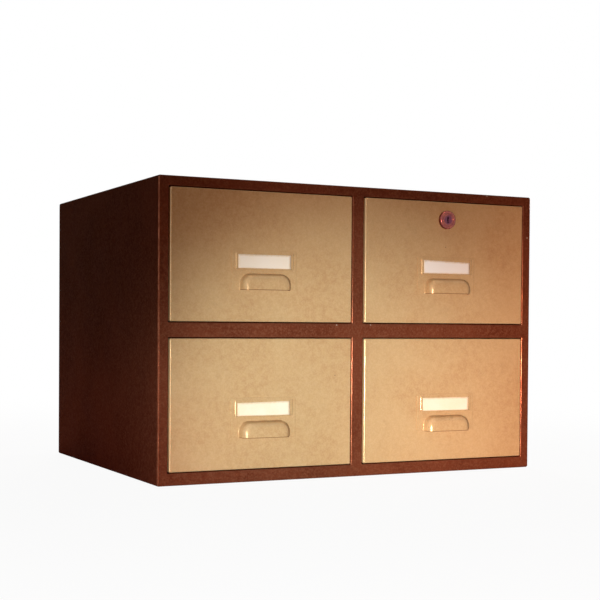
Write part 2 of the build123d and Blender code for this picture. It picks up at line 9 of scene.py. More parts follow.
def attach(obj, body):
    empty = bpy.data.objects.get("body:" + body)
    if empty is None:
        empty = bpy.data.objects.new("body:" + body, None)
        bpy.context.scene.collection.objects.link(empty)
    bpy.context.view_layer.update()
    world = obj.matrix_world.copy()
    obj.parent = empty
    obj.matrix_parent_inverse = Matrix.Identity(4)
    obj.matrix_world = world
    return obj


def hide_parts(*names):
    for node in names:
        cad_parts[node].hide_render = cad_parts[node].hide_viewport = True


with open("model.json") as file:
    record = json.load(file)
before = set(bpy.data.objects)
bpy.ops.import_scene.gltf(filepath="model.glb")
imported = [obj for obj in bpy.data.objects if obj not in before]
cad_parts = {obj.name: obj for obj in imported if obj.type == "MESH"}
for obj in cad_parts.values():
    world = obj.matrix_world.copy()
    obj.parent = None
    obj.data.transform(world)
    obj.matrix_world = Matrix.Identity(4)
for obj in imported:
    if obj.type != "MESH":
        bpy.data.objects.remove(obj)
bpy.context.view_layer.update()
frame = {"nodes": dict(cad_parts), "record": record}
nodes = frame["nodes"]
MM = 0.001

# Sizes in millimetres. Dressed pieces lie on the solids they stand for, or just inside them
OPENING_CENTRE = 121.7
OPENING_FOOT = {"bottom": 14.0, "top": 179.75}
SIDE = {"left": -1, "right": 1}
DRAWER_GAP = 1.0
SKIN_Y = -189.85
PULL_RISE = 35.5
PLATE_THICKNESS = 0.8
PLATE_HALF = 40.5
PLATE_HEIGHT = 45.0
PLATE_CORNER = 2.0
HOOD_HALF = 30.3
HOOD_HEIGHT = 18.6
HOOD_CORNER = 11.5
HOOD_RISE = 12.45
FLANK_RUN = 2.3
HOLDER_RISE = 58.5
HOLDER_HALF = 36.0
HOLDER_HEIGHT = 19.0
HOLDER_SHEET = 0.5
HOLDER_FOLD = 0.8
LOCK_CENTRE = (121.7, 306.0)
LOCK_REAR_Y = -174.05
LOCK_RISE = 4.6

# Each label's width, left height, right height and the rise of its right end
LABELS = {
    "top_left": (65.5, 16.5, 16.5, 0.0),
    "top_right": (67.0, 17.0, 13.6, 1.2),
    "bottom_left": (65.5, 15.6, 16.6, 0.0),
    "bottom_right": (67.0, 16.5, 16.5, 0.0),
}

# Chips in the case's paint and dark dots on the drawer fronts: x, z and radius
CHIPS = ((242.6, 288.9, 1.4), (181.3, 338.5, 1.5), (-27.9, 177.8, 1.0), (17.5, 178.1, 0.9))
DOTS = ((120.9, 273.1, 0.8), (-30.2, 119.2, 0.8))

# Angles round a turned form
SEGMENTS = 128
AROUND = np.linspace(0, 2 * np.pi, SEGMENTS, endpoint=False)

WHITE = (1.0, 1.0, 1.0)
DIM_WARM = (0.03, 0.0186, 0.015)
WARM_SHEEN = (1.0, 0.85, 0.7, 1.0)


def grid_faces(rows, columns, rows_meet=False, columns_meet=False):
    """Four-sided faces between neighbouring points of a grid, closed round where its ends meet."""
    i = np.arange(rows if rows_meet else rows - 1)
    j = np.arange(columns if columns_meet else columns - 1)
    i, j = (a.ravel() for a in np.meshgrid(i, j, indexing="ij"))
    up, over = (i + 1) % rows, (j + 1) % columns
    return np.stack([i * columns + j, i * columns + over, up * columns + over, up * columns + j], 1)


def piece(name, surfaces, finish, body, stands_for, wall=0.0, soften=0.0):
    """A mesh of several surfaces, each a grid of points in millimetres with its faces.
    Points that fall together are merged, a wall is added inwards, and sharp edges are softened."""
    count = 0
    points, faces = [], []
    for grid, quads in surfaces:
        points.append(grid.reshape(-1, 3) * MM)
        faces.append(quads + count)
        count += points[-1].shape[0]
    mesh = bpy.data.meshes.new(name)
    mesh.from_pydata(np.vstack(points).tolist(), [], np.vstack(faces).tolist())
    shape = bmesh.new()
    shape.from_mesh(mesh)
    bmesh.ops.remove_doubles(shape, verts=shape.verts, dist=1e-6)
    bmesh.ops.dissolve_degenerate(shape, edges=shape.edges, dist=1e-7)
    if not wall:
        bmesh.ops.recalc_face_normals(shape, faces=shape.faces)
    shape.to_mesh(mesh)
    shape.free()
    mesh.polygons.foreach_set("use_smooth", np.ones(len(mesh.polygons), bool))
    mesh.materials.append(FINISHES[finish])
    made = bpy.data.objects.new(name, mesh)
    bpy.context.scene.collection.objects.link(made)
    if wall:
        solidify = made.modifiers.new("wall", "SOLIDIFY")
        solidify.thickness = wall * MM
        solidify.offset = -1.0
        solidify.use_even_offset = True
    if soften:
        bevel = made.modifiers.new("soft edges", "BEVEL")
        bevel.width = soften * MM
        bevel.segments = 2
        bevel.limit_method = "ANGLE"
        bevel.angle_limit = np.radians(50.0)
    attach(made, body)
    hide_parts(*stands_for)


def arch(half_width, height, radius, side_steps=8, bend_steps=14, top_steps=24):
    """Points of an arch from its left foot over to its right foot: upright sides, quarter circles
    and a level top, for whole arrays of sizes at once. Gives x and z, one row for each size."""
    a, h, r = (np.atleast_1d(v).astype(float)[:, None] for v in (half_width, height, radius))
    side = np.linspace(0, 1, side_steps)[None, :]
    bend = np.linspace(0, np.pi / 2, bend_steps)[None, 1:]
    top = np.linspace(-1, 1, top_steps)[None, 1:-1]
    left_x = np.hstack([-a + 0 * side, -a + r * (1 - np.cos(bend))])
    left_z = np.hstack([(h - r) * side, h - r * (1 - np.sin(bend))])
    x = np.hstack([left_x, (a - r) * top, -left_x[:, ::-1]])
    z = np.hstack([left_z, h + 0 * top, left_z[:, ::-1]])
    return x, z


def turned(rows, centre):
    """A form turned about an axis along Y: each row (radius, y) is carried round the centre x and
    z. A radius may also be a whole outline, its distance from the axis at each angle."""
    reach = np.vstack([r + 0 * AROUND for r, _ in rows])
    y = np.array([[place] for _, place in rows]) + 0 * reach
    x = centre[0] + reach * np.cos(AROUND)
    z = centre[1] + reach * np.sin(AROUND)
    return np.stack([x, y, z], -1)


def slot_outline(height, width):
    """Distance from the middle of an upright slot to its edge at each angle: two straight sides,
    then a half circle at either end."""
    across, up = np.abs(np.cos(AROUND)), np.abs(np.sin(AROUND))
    end, reach = width / 2, (height - width) / 2
    beside = end / np.maximum(across, 1e-6)
    above = reach * up + np.sqrt(np.maximum(end**2 - (reach * across) ** 2, 0.0))
    return np.where(beside * up <= reach, beside, above)


def square_outline(side):
    """Distance from the middle of a square to its edge at each angle."""
    return side / 2 / np.maximum(np.abs(np.cos(AROUND)), np.abs(np.sin(AROUND)))


class Graph:
    """A tree of shader nodes, put together step by step."""

    def __init__(self, tree):
        self.nodes, self.links = tree.nodes, tree.links

    def join(self, source, target):
        """Link an output to a socket, or set a plain value on it."""
        if isinstance(source, bpy.types.NodeSocket):
            self.links.new(source, target)
        else:
            target.default_value = source

    def node(self, kind, *sources, **settings):
        """A new node with its settings and with its first inputs joined to the sources."""
        made = self.nodes.new(kind)
        for key, value in settings.items():
            setattr(made, key, value)
        for source, socket in zip(sources, made.inputs):
            self.join(source, socket)
        return made

    def chain(self, operation, first, *others):
        """Arithmetic on values, taken one after another."""
        for other in others:
            first = self.node("ShaderNodeMath", first, other, operation=operation).outputs[0]
        return first

    def times(self, *values):
        """The product of the values."""
        return self.chain("MULTIPLY", *values)

    def plus(self, *values):
        """The sum of the values."""
        return self.chain("ADD", *values)

    def most(self, *values):
        """The greatest of the values."""
        return self.chain("MAXIMUM", *values)

    def minus(self, first, second):
        """The first value less the second."""
        return self.chain("SUBTRACT", first, second)

    def size(self, value):
        """The value without its sign."""
        return self.node("ShaderNodeMath", value, operation="ABSOLUTE").outputs[0]

    def vector(self, operation, *sources):
        """One step on vectors, which gives a vector, or one value for a length or a dot product."""
        step = self.node("ShaderNodeVectorMath", *sources, operation=operation)
        one_value = operation in ("LENGTH", "DISTANCE", "DOT_PRODUCT")
        return step.outputs["Value" if one_value else "Vector"]

    def parts(self, vector):
        """The x, y and z of a vector."""
        return tuple(self.node("ShaderNodeSeparateXYZ", vector).outputs)

    def spread(self, value, low, high, to_low=0.0, to_high=1.0):
        """Map a value from one range to another, smoothly and held at the ends."""
        ends = (low, high, to_low, to_high)
        ranged = self.node("ShaderNodeMapRange", value, *ends, interpolation_type="SMOOTHSTEP")
        return ranged.outputs["Result"]

    def mix(self, amount, first, second):
        """Mix two colours by an amount."""
        mixer = self.node("ShaderNodeMix", amount, data_type="RGBA")
        colours = [s for s in mixer.inputs if s.type == "RGBA"]
        for source, socket in ((first, colours[0]), (second, colours[1])):
            self.join((*source, 1.0) if isinstance(source, tuple) else source, socket)
        return next(s for s in mixer.outputs if s.type == "RGBA")

    def seen(self):
        """One for rays from the camera, in a mirror or through glass, nought for light on a
        surface."""
        path = self.node("ShaderNodeLightPath").outputs
        return self.most(*(path[f"Is {ray} Ray"] for ray in ("Camera", "Glossy", "Transmission")))


class Finish(Graph):
    """A surface finish with patterns on the object's own coordinates in metres."""

    def __init__(self, name):
        self.material = bpy.data.materials.new(name)
        self.material.use_nodes = True
        super().__init__(self.material.node_tree)
        self.shader = self.nodes["Principled BSDF"]
        own = self.node("ShaderNodeTexCoord").outputs
        self.place, self.normal = own["Object"], own["Normal"]

    def noise(self, size_mm, detail=3.0, rough=0.55, stretch=(1, 1, 1), warp=0.0):
        """Cloudy noise whose features are about size_mm wide, stretched along the three axes."""
        mapping = self.node("ShaderNodeMapping", self.place)
        mapping.inputs["Scale"].default_value = [1.0 / s for s in stretch]
        cloud = self.node("ShaderNodeTexNoise", mapping.outputs[0])
        cloud.inputs["Scale"].default_value = 1 / (size_mm * MM)
        cloud.inputs["Detail"].default_value = detail
        cloud.inputs["Roughness"].default_value = rough
        cloud.inputs["Distortion"].default_value = warp
        return cloud.outputs["Fac"]

    def cells(self, size_mm):
        """Distance to the nearest of many scattered points about size_mm apart."""
        cell = self.node("ShaderNodeTexVoronoi", self.place)
        cell.inputs["Scale"].default_value = 1 / (size_mm * MM)
        return cell.outputs["Distance"]

    def tint(self, colour, where, share, other):
        """The colour with a share of another one where a pattern is one."""
        return self.mix(self.times(where, share), colour, other)

    def folds(self, low=0.03, high=0.22):
        """One on rounded folds, nought on faces that lie square to the object's axes."""
        most = self.most(*self.parts(self.vector("ABSOLUTE", self.normal)))
        return self.spread(self.minus(1.0, most), low, high)

    def upright(self, low=0.35, high=0.08):
        """One on upright faces and folds, nought where the surface leans up or down."""
        return self.spread(self.size(self.parts(self.normal)[2]), low, high)

    def rims(self, radius_mm, low=0.02, high=0.25):
        """One near sharp edges: how far the normal of a rounded edge leans from the real one."""
        soft = self.node("ShaderNodeBevel", radius_mm * MM, samples=6).outputs[0]
        real = self.node("ShaderNodeNewGeometry").outputs["Normal"]
        lean = self.vector("DOT_PRODUCT", soft, real)
        return self.spread(self.minus(1.0, lean), low, high)

    def creases(self, reach_mm, low=0.25, high=0.6):
        """One in hollow corners of the same piece, within the reach given."""
        hollow = self.node("ShaderNodeAmbientOcclusion", samples=6, only_local=True)
        hollow.inputs["Distance"].default_value = reach_mm * MM
        return self.spread(self.minus(1.0, hollow.outputs["AO"]), low, high)

    def level_line(self, z, half_mm, fade_mm=0.4):
        """One along a level line on the piece, at the height z in millimetres."""
        away = self.size(self.minus(self.parts(self.place)[2], z * MM))
        return self.spread(away, (half_mm + fade_mm) * MM, half_mm * MM)

    def stands_out(self, over_mm, fade_mm=0.5):
        """One where the piece stands out over the drawer's skin by more than over_mm."""
        start = SKIN_Y - over_mm
        return self.spread(self.parts(self.place)[1], start * MM, (start - fade_mm) * MM)

    def reach_from(self, x, z):
        """How far a place on the front lies from the point x and z in millimetres."""
        flat = self.vector("MULTIPLY", self.place, (1.0, 0.0, 1.0))
        return self.vector("DISTANCE", flat, (x * MM, 0.0, z * MM))

    def spot(self, x, z, radius_mm, ragged=0.4):
        """A small mark on the front at x and z in millimetres, with a ragged outline."""
        shake = self.times(self.noise(1.5), radius_mm * MM * ragged * 2)
        far = self.plus(self.reach_from(x, z), shake)
        return self.spread(far, radius_mm * MM * 1.5, radius_mm * MM * 0.9)

    def bump(self, height, depth_mm, strength=1.0, over=None):
        """A relief of the given depth, laid over another one where that is given."""
        made = self.node("ShaderNodeBump")
        made.inputs["Strength"].default_value = strength
        made.inputs["Distance"].default_value = depth_mm * MM
        self.join(height, made.inputs["Height"])
        if over is not None:
            self.join(over, made.inputs["Normal"])
        return made.outputs[0]

    def finish(self, colour, roughness, normal=None, metal=0.0, gloss=0.5, **more):
        """Connect the colour, roughness, bump and the plain settings of the shader."""
        inputs = self.shader.inputs
        self.join(colour, inputs["Base Color"])
        self.join(roughness, inputs["Roughness"])
        self.join(metal, inputs["Metallic"])
        if normal is not None:
            self.join(normal, inputs["Normal"])
        inputs["Specular IOR Level"].default_value = gloss
        for key, value in more.items():
            self.join(value, inputs[key.replace("_", " ").title()])
        return self.material


def case_enamel():
    """Chocolate brown stoved enamel with an orange-peel surface, cloudy tone, chips, and folds
    rubbed lighter: partly wear and partly a painted highlight."""
    f = Finish("case_enamel")
    clouds = f.spread(f.noise(90, 4), 0.36, 0.66)
    mottle = f.spread(f.noise(5, 3, 0.6), 0.35, 0.68)
    grain = f.spread(f.noise(1.9, 2, 0.5), 0.4, 0.72)
    flecks = f.spread(f.cells(3.4), 0.10, 0.03)
    flecks = f.times(flecks, f.spread(f.noise(14), 0.5, 0.62))
    folds = f.folds()
    upright = f.upright()
    # Rounded folds made lighter further down: partly paint worn through, partly a painted highlight
    wear_and_highlight = f.times(folds, f.spread(f.noise(9, 5, 0.65), 0.38, 0.62, 0.4, 1.0))
    rubbed = f.times(f.rims(0.7), f.spread(f.noise(6, 5, 0.7), 0.5, 0.66))
    scattered = f.spread(f.cells(46), 0.035, 0.02)
    scattered = f.times(scattered, f.spread(f.noise(60), 0.5, 0.58))
    chips = f.most(scattered, *(f.spot(*chip) for chip in CHIPS))
    scratches = f.spread(f.noise(3.2, 2, 0.4, stretch=(1, 1, 14)), 0.70, 0.78)
    scratches = f.times(scratches, f.spread(f.noise(70, 2), 0.5, 0.62))
    colour = f.mix(clouds, (0.115, 0.028, 0.013), (0.154, 0.04, 0.019))
    colour = f.tint(colour, mottle, 0.6, (0.17, 0.05, 0.025))
    colour = f.tint(colour, grain, 0.4, (0.26, 0.1, 0.055))
    colour = f.tint(colour, flecks, 0.6, (0.299, 0.133, 0.075))
    # Painted highlight and wear: the rounded folds are made lighter
    colour = f.tint(colour, wear_and_highlight, 0.5, (0.249, 0.091, 0.05))
    colour = f.tint(colour, rubbed, 0.6, (0.299, 0.141, 0.083))
    colour = f.tint(colour, chips, 0.8, (0.457, 0.349, 0.282))
    colour = f.tint(colour, scratches, 0.35, (0.249, 0.108, 0.066))
    rough = f.spread(f.noise(40, 4), 0.3, 0.7, 0.26, 0.4)
    rough = f.plus(rough, f.times(chips, 0.2), f.times(folds, upright, -0.16))
    shine = f.spread(upright, 0.0, 1.0, 0.05, 1.0)
    metal = f.plus(f.times(wear_and_highlight, shine), 0.012)
    peel = f.bump(f.noise(3.4, 2, 0.5), 0.05)
    relief = f.bump(f.minus(f.noise(40, 2), chips), 0.22, 0.8, over=peel)
    return f.finish(colour, rough, relief, metal=metal, gloss=0.0)


def front_enamel():
    """Tan stoved enamel, finely mottled and cloudy, with a few dark specks, bright upright folds,
    folds made lighter that are partly wear and partly a painted highlight, rubbed edges, and
    painted shade in the hollow corners and along the cut foot of each hood."""
    f = Finish("front_enamel")
    clouds = f.spread(f.noise(75, 4, 0.55, warp=0.4), 0.34, 0.68)
    mottle = f.spread(f.noise(7, 4, 0.62), 0.33, 0.68)
    grain = f.spread(f.noise(1.7, 2, 0.5), 0.35, 0.7)
    stain = f.spread(f.noise(24, 5, 0.7), 0.56, 0.74)
    specks = f.spread(f.cells(11), 0.05, 0.025)
    specks = f.times(specks, f.spread(f.noise(30), 0.52, 0.62), 0.5)
    specks = f.most(specks, *(f.spot(*dot) for dot in DOTS))
    folds = f.folds()
    upright = f.upright()
    wear_and_highlight = f.times(folds, f.spread(f.noise(8, 5, 0.65), 0.36, 0.62, 0.3, 1.0))
    rubbed = f.times(f.rims(0.5), f.spread(f.noise(5, 5, 0.7), 0.48, 0.66))
    # Painted shade: darker in hollow corners, such as where each hood meets its plate
    dirt_and_shade = f.times(f.creases(2.0), f.spread(f.noise(6, 4), 0.3, 0.6, 0.6, 1.0))
    # Painted shadow: a dark line under the cut foot of each hood
    hood_feet = (foot + DRAWER_GAP + PULL_RISE for foot in OPENING_FOOT.values())
    foot_shade_lines = f.most(*(f.level_line(z, 0.55) for z in hood_feet))
    foot_shade_lines = f.times(foot_shade_lines, f.stands_out(1.5))
    colour = f.mix(clouds, (0.531, 0.328, 0.158), (0.581, 0.39, 0.199))
    colour = f.tint(colour, mottle, 0.5, (0.631, 0.44, 0.224))
    colour = f.tint(colour, grain, 0.24, (0.73, 0.564, 0.357))
    colour = f.tint(colour, stain, 0.25, (0.457, 0.274, 0.133))
    colour = f.tint(colour, specks, 0.75, (0.133, 0.066, 0.033))
    # Painted highlight and wear: the rounded folds are made lighter
    colour = f.tint(colour, wear_and_highlight, 0.25, (0.714, 0.515, 0.315))
    colour = f.tint(colour, rubbed, 0.5, (0.415, 0.299, 0.199))
    # Painted shade in the hollow corners
    colour = f.tint(colour, dirt_and_shade, 0.7, (0.33, 0.15, 0.055))
    # Painted shadow line under each hood
    colour = f.tint(colour, foot_shade_lines, 0.85, (0.24, 0.12, 0.05))
    off_hood = f.minus(1.0, f.stands_out(3.2))
    bright_fold = f.times(folds, upright, off_hood)
    rough = f.spread(f.noise(30, 4), 0.3, 0.7, 0.27, 0.42)
    rough = f.plus(rough, f.times(bright_fold, -0.14))
    shine = f.spread(upright, 0.0, 1.0, 0.22, 0.42)
    metal = f.plus(f.times(wear_and_highlight, shine), 0.03, f.times(bright_fold, 0.4))
    peel = f.bump(f.noise(3.0, 2, 0.5), 0.04)
    relief = f.bump(f.noise(26, 3, 0.5), 0.2, 0.8, over=peel)
    return f.finish(colour, rough, relief, metal=metal, gloss=0.04, specular_tint=WARM_SHEEN)


def tray_enamel():
    """Thinner satin tan enamel, with rubbed floors, fine scuffs along the drawer and worn rims."""
    f = Finish("tray_enamel")
    clouds = f.spread(f.noise(60, 4), 0.36, 0.66)
    mottle = f.spread(f.noise(6, 3, 0.6), 0.35, 0.68)
    scuffs = f.spread(f.noise(2.6, 3, 0.5, stretch=(1, 22, 1)), 0.62, 0.76)
    scuffs = f.times(scuffs, f.spread(f.noise(50, 3), 0.45, 0.62))
    rubbed = f.times(f.rims(0.8), f.spread(f.noise(7, 5, 0.7), 0.42, 0.62))
    colour = f.mix(clouds, (0.56, 0.35, 0.18), (0.63, 0.42, 0.22))
    colour = f.tint(colour, mottle, 0.4, (0.68, 0.46, 0.26))
    colour = f.tint(colour, scuffs, 0.5, (0.46, 0.33, 0.22))
    colour = f.tint(colour, rubbed, 0.7, (0.42, 0.34, 0.27))
    rough = f.plus(f.spread(f.noise(22, 4), 0.3, 0.7, 0.36, 0.52), f.times(scuffs, 0.12))
    relief = f.bump(f.minus(f.noise(4, 3, 0.5), f.times(scuffs, 0.6)), 0.05)
    return f.finish(colour, rough, relief, gloss=0.25, specular_tint=WARM_SHEEN)


def zinc_steel():
    """Dull zinc plate: soft spangle, drawn lines along the runners, darker greasy patches."""
    f = Finish("zinc_steel")
    spangle = f.spread(f.noise(9, 4, 0.65, warp=1.2), 0.34, 0.68)
    drawn = f.spread(f.noise(0.9, 2, 0.5, stretch=(1, 60, 1)), 0.32, 0.7)
    grease = f.spread(f.noise(34, 5, 0.7), 0.52, 0.72)
    colour = f.mix(spangle, (0.50, 0.50, 0.49), (0.68, 0.68, 0.66))
    colour = f.tint(colour, drawn, 0.22, (0.78, 0.78, 0.77))
    colour = f.tint(colour, grease, 0.45, (0.27, 0.24, 0.2))
    colour = f.tint(colour, f.rims(0.4), 0.6, (0.8, 0.8, 0.79))
    rough = f.plus(f.spread(spangle, 0, 1, 0.34, 0.46), f.times(grease, 0.12))
    relief = f.bump(drawn, 0.02, 0.6, over=f.bump(spangle, 0.03))
    return f.finish(colour, rough, relief, metal=0.9)


def nylon():
    """Natural nylon, waxy and a little grey where it rolls."""
    f = Finish("nylon")
    clouds = f.spread(f.noise(6, 4), 0.35, 0.65)
    dirt_and_shade = f.spread(f.noise(2.2, 4, 0.7), 0.5, 0.72)
    colour = f.mix(clouds, (0.72, 0.68, 0.57), (0.82, 0.79, 0.70))
    colour = f.tint(colour, dirt_and_shade, 0.45, (0.36, 0.33, 0.29))
    rough = f.spread(f.noise(3), 0.3, 0.7, 0.36, 0.52)
    relief = f.bump(f.noise(0.8, 2), 0.02)
    depth = {"subsurface_weight": 0.12, "subsurface_scale": 1.0 * MM}
    return f.finish(colour, rough, relief, gloss=0.4, **depth)


def label_paper():
    """Bare index card: soft fibres, a faint yellowing and handled edges. The top labels are whiter,
    the right one most of all: partly whiter card, partly painted light that makes up for the top
    row being lit less."""
    f = Finish("label_paper")
    clouds = f.spread(f.noise(22, 4), 0.36, 0.66)
    fibres = f.spread(f.noise(0.55, 3, 0.6, stretch=(5, 1, 1)), 0.3, 0.72)
    x, _, z = f.parts(f.place)
    top_row = f.spread(z, 170 * MM, 180 * MM)
    # Partly whiter card, partly painted light: the top row is lit less, so its labels are painted
    # whiter
    whiter_card_and_painted_light = f.times(top_row, f.spread(x, -10 * MM, 10 * MM, 0.45, 1.0))
    edge = f.times(f.rims(1.3, 0.01, 0.2), f.spread(f.noise(4, 4), 0.4, 0.6, 0.4, 1.0))
    colour = f.mix(clouds, (0.97, 0.84, 0.63), (0.98, 0.87, 0.70))
    colour = f.tint(colour, fibres, 0.3, (0.99, 0.93, 0.82))
    colour = f.mix(whiter_card_and_painted_light, colour, (0.99, 0.97, 0.95))
    colour = f.tint(colour, edge, 0.55, (0.85, 0.66, 0.42))
    rough = f.spread(fibres, 0, 1, 0.72, 0.86)
    relief = f.bump(fibres, 0.02, 0.7)
    return f.finish(colour, rough, relief, gloss=0.2)


def lock_copper():
    """Copper plate under lacquer, turned on a lathe, darker and purplish where it is tarnished and
    in the sunk middle."""
    f = Finish("lock_copper")
    reach = f.reach_from(*LOCK_CENTRE)
    rings = f.node("ShaderNodeTexNoise", noise_dimensions="1D")
    f.join(reach, rings.inputs["W"])
    rings.inputs["Scale"].default_value = 5200.0
    rings.inputs["Detail"].default_value = 2.0
    lathe = f.spread(rings.outputs["Fac"], 0.3, 0.7)
    tarnish = f.spread(f.noise(5, 4, 0.6), 0.38, 0.66)
    sunk = f.spread(reach, 7.2 * MM, 4.2 * MM)
    colour = f.mix(tarnish, (0.31, 0.08, 0.055), (0.19, 0.045, 0.05))
    colour = f.tint(colour, lathe, 0.2, (0.45, 0.15, 0.1))
    colour = f.tint(colour, sunk, 0.75, (0.09, 0.028, 0.06))
    colour = f.tint(colour, f.rims(0.35), 0.7, (0.85, 0.45, 0.3))
    rough = f.spread(f.noise(3, 4), 0.3, 0.7, 0.2, 0.34)
    relief = f.bump(lathe, 0.012, 0.8)
    return f.finish(colour, rough, relief, metal=0.92)


FINISHES = {
    "case_enamel": case_enamel(),
    "front_enamel": front_enamel(),
    "tray_enamel": tray_enamel(),
    "zinc_steel": zinc_steel(),
    "nylon": nylon(),
    "label_paper": label_paper(),
    "lock_copper": lock_copper(),
}
for row in frame["record"]["subparts"]:
    solid = nodes[row["node"]].data
    solid.materials.clear()
    solid.materials.append(FINISHES[row["material_slot"]])


def pull_surface(middle_x, foot_z):
    """The outer face of a pull, as arches nested from the plate's rim to the foot of the hood.
    Across the arches runs one profile: flat plate, hollow bend, straight flank, round shoulder,
    slightly crowned face. Each arch is set in by the profile's run and stands out by its rise."""
    hollow, shoulder, crown, narrowing = 0.6, 7.6, 0.4, 9.0
    lean = np.arctan2(HOOD_RISE, FLANK_RUN)
    rise = HOOD_RISE - crown
    bend = np.linspace(0, lean, 9)
    straight = (rise - (hollow + shoulder) * (1 - np.cos(lean))) / np.sin(lean)
    run_in = hollow * np.sin(bend)
    run_up = hollow * (1 - np.cos(bend))
    flank = np.linspace(0, straight, 7)[1:-1]
    flank_in = run_in[-1] + flank * np.cos(lean)
    flank_up = run_up[-1] + flank * np.sin(lean)
    start_in = run_in[-1] + straight * np.cos(lean)
    start_up = run_up[-1] + straight * np.sin(lean)
    over_in = start_in + shoulder * (np.sin(lean) - np.sin(lean - bend))
    over_up = start_up + shoulder * (np.cos(lean - bend) - np.cos(lean))
    inset = np.hstack([run_in, flank_in, over_in]) - hollow * np.tan(lean / 2)
    out = np.hstack([run_up, flank_up, over_up])
    hood_x, hood_z = arch(HOOD_HALF - inset, HOOD_HEIGHT - inset, HOOD_CORNER - inset / 2)
    hood_out = out[:, None] + 0 * hood_x
    plate_x, plate_z = arch(PLATE_HALF, PLATE_HEIGHT, PLATE_CORNER)
    share = np.linspace(0, 1, 6)[:-1, None]
    flat_x = plate_x + share * (hood_x[:1] - plate_x)
    flat_z = plate_z + share * (hood_z[:1] - plate_z)
    closing = np.linspace(0, 1, 12)[1:]
    last = inset[-1]
    height = (HOOD_HEIGHT - last) * (1 - closing)
    width = HOOD_HALF - last - narrowing * closing
    face_x, face_z = arch(width, height, np.minimum(HOOD_CORNER - last / 2, height))
    face_out = (rise + crown * (1 - (1 - closing) ** 2))[:, None] + 0 * face_x
    x = np.vstack([flat_x, hood_x, face_x])
    z = np.vstack([flat_z, hood_z, face_z])
    y = np.vstack([0 * flat_x, hood_out, face_out])
    points = np.stack([middle_x + x, SKIN_Y - PLATE_THICKNESS - y, foot_z + z], -1)
    return points, grid_faces(*points.shape[:2])[:, ::-1]


def folded_side(middle_x, foot_z):
    """The holder's back with its two side lips: a line across the sheet and a fold at both ends,
    a quarter circle behind and a longer quarter ellipse in front, carried straight up from the
    bottom fold to the open top."""
    lip, bow, start = 3.0, 2.2, 0.9
    back = SKIN_Y - PLATE_THICKNESS
    turn = np.linspace(0, np.pi, 21)
    bend = np.where(turn < np.pi / 2, bow, HOLDER_FOLD)
    bend_x = -HOLDER_HALF + bend - bend * np.sin(turn)
    bend_y = back - HOLDER_FOLD - HOLDER_FOLD * np.cos(turn)
    left_x = np.hstack([-HOLDER_HALF + lip, bend_x])
    left_y = np.hstack([back - 2 * HOLDER_FOLD, bend_y])
    x = middle_x + np.hstack([left_x, -left_x[::-1]])
    y = np.hstack([left_y, left_y[::-1]])
    z = np.linspace(foot_z + start, foot_z + HOLDER_HEIGHT, 9)[:, None]
    points = np.stack([x + 0 * z, y + 0 * z, z + 0 * x], -1)
    return points, grid_faces(*points.shape[:2])[:, ::-1]


def folded_foot(middle_x, foot_z):
    """The holder's bottom lip: down the back, half a circle under, and up the front, carried level
    from one side lip to the other."""
    start, lip, clear = 0.9, 1.6, 1.0
    half = HOLDER_HALF - clear
    back = SKIN_Y - PLATE_THICKNESS
    turn = np.linspace(0, np.pi, 13)
    under = HOLDER_FOLD - HOLDER_FOLD * np.sin(turn)
    z = foot_z + np.hstack([start, under, lip])
    across = back - HOLDER_FOLD + HOLDER_FOLD * np.cos(turn)
    y = np.hstack([back, across, back - 2 * HOLDER_FOLD])
    x = middle_x + np.linspace(-half, half, 15)[:, None]
    points = np.stack([x + 0 * z, y + 0 * x, z + 0 * x], -1)
    return points, grid_faces(*points.shape[:2])[:, ::-1]


def paper_surface(middle_x, foot_z, cut):
    """A label: the four corners of its cut joined by straight edges, with a shallow bow outwards
    and edges that waver a little."""
    width, left_height, right_height, right_rise = cut
    lift, stand, bow, waver = 0.6, 0.33, 0.1, 0.06
    u = np.linspace(0, 1, 25)[None, :]
    v = np.linspace(0, 1, 9)[:, None]
    low = u * right_rise
    high = left_height + u * (right_rise + right_height - left_height)
    x = middle_x + (u - 0.5) * width + 0 * v
    z = foot_z + lift + low + v * (high - low) + waver * np.sin(7.0 * u + 2.0 * v)
    out = bow * np.sin(np.pi * u) * (0.4 + 0.6 * v)
    y = SKIN_Y - PLATE_THICKNESS - HOLDER_SHEET - stand - out
    points = np.stack([x, y, z], -1)
    return points, grid_faces(*points.shape[:2])


for tier, opening in OPENING_FOOT.items():
    for hand, sign in SIDE.items():
        place = f"{tier}_{hand}"
        middle = sign * OPENING_CENTRE
        pull_foot = opening + DRAWER_GAP + PULL_RISE
        holder_foot = opening + DRAWER_GAP + HOLDER_RISE
        piece(
            f"pull_{place}",
            [pull_surface(middle, pull_foot)],
            "front_enamel",
            f"drawer_{place}",
            [f"drawer_pull_{place}"],
            wall=0.78,
            soften=0.22,
        )
        piece(
            f"holder_{place}",
            [folded_side(middle, holder_foot), folded_foot(middle, holder_foot)],
            "front_enamel",
            f"drawer_{place}",
            [f"label_holder_{place}"],
            wall=HOLDER_SHEET,
            soften=0.12,
        )
        piece(
            f"label_{place}",
            [paper_surface(middle, holder_foot, LABELS[place])],
            "label_paper",
            f"drawer_{place}",
            [f"label_card_{place}"],
            wall=0.28,
        )


